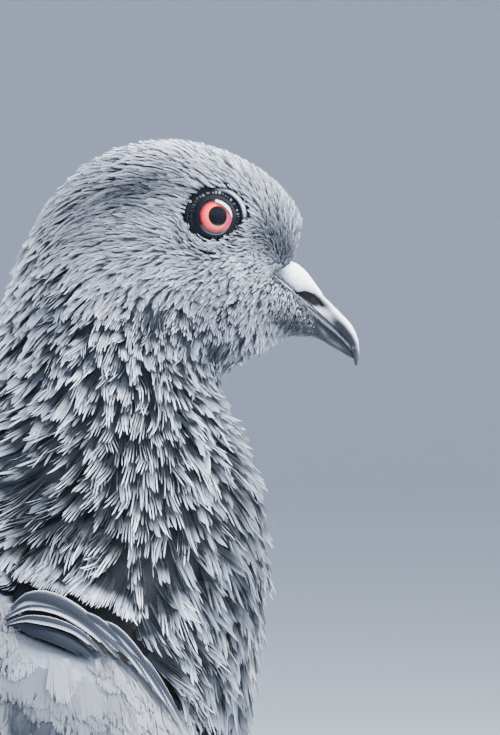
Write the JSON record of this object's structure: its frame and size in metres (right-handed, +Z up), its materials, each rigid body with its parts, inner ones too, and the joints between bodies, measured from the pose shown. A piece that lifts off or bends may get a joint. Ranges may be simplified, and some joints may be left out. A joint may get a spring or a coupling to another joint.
{
  "type": "pigeon",
  "caption": "Life-size still model of a feral pigeon standing on both feet, wings folded, neck plumage ruffled and bill lowered.",
  "frame": {"origin": "on the floor, below the middle of the bird's whole reach from bill tip to tail end", "axes": "+X the way the bird faces, +Y to the bird's left, +Z up"},
  "size_m": [0.2508, 0.0922, 0.2337],
  "materials": {
    "head_plumage": "short, close, silky feathers, cool blue-grey",
    "neck_plumage": "ruffled hackles with split pale tips over dark roots",
    "body_plumage": "soft overlapping feathers, blue-grey",
    "wing_plumage": "smooth pale coverts with dark checks",
    "flight_feather": "stiff dark vanes with a matt sheen",
    "tail_feather": "stiff grey vanes with a dark end band",
    "bill_horn": "worn satin horn, paler on the ridge",
    "cere_skin": "chalky white, finely wrinkled",
    "eye": "wet, salmon-red iris round a black pupil",
    "foot_skin": "scaly dusky coral-red skin",
    "claw_horn": "satin dark horn"
  },
  "bodies": {
    "root": {"head": "head_plumage", "neck": "neck_plumage", "trunk": "body_plumage", "tail": "tail_feather", "cere": "cere_skin", "bill_upper": "bill_horn", "bill_lower": "bill_horn", "eye_right": "eye", "wing_right": "wing_plumage", "primaries_right": "flight_feather", "thigh_right": "body_plumage", "shank_right": "foot_skin", "foot_right": "foot_skin", "toe_inner_right": "foot_skin", "toe_middle_right": "foot_skin", "toe_outer_right": "foot_skin", "toe_hind_right": "foot_skin", "claw_inner_right": "claw_horn", "claw_middle_right": "claw_horn", "claw_outer_right": "claw_horn", "claw_hind_right": "claw_horn", "eye_left": "eye", "wing_left": "wing_plumage", "primaries_left": "flight_feather", "thigh_left": "body_plumage", "shank_left": "foot_skin", "foot_left": "foot_skin", "toe_inner_left": "foot_skin", "toe_middle_left": "foot_skin", "toe_outer_left": "foot_skin", "toe_hind_left": "foot_skin", "claw_inner_left": "claw_horn", "claw_middle_left": "claw_horn", "claw_outer_left": "claw_horn", "claw_hind_left": "claw_horn"}
  },
  "joints": []
}
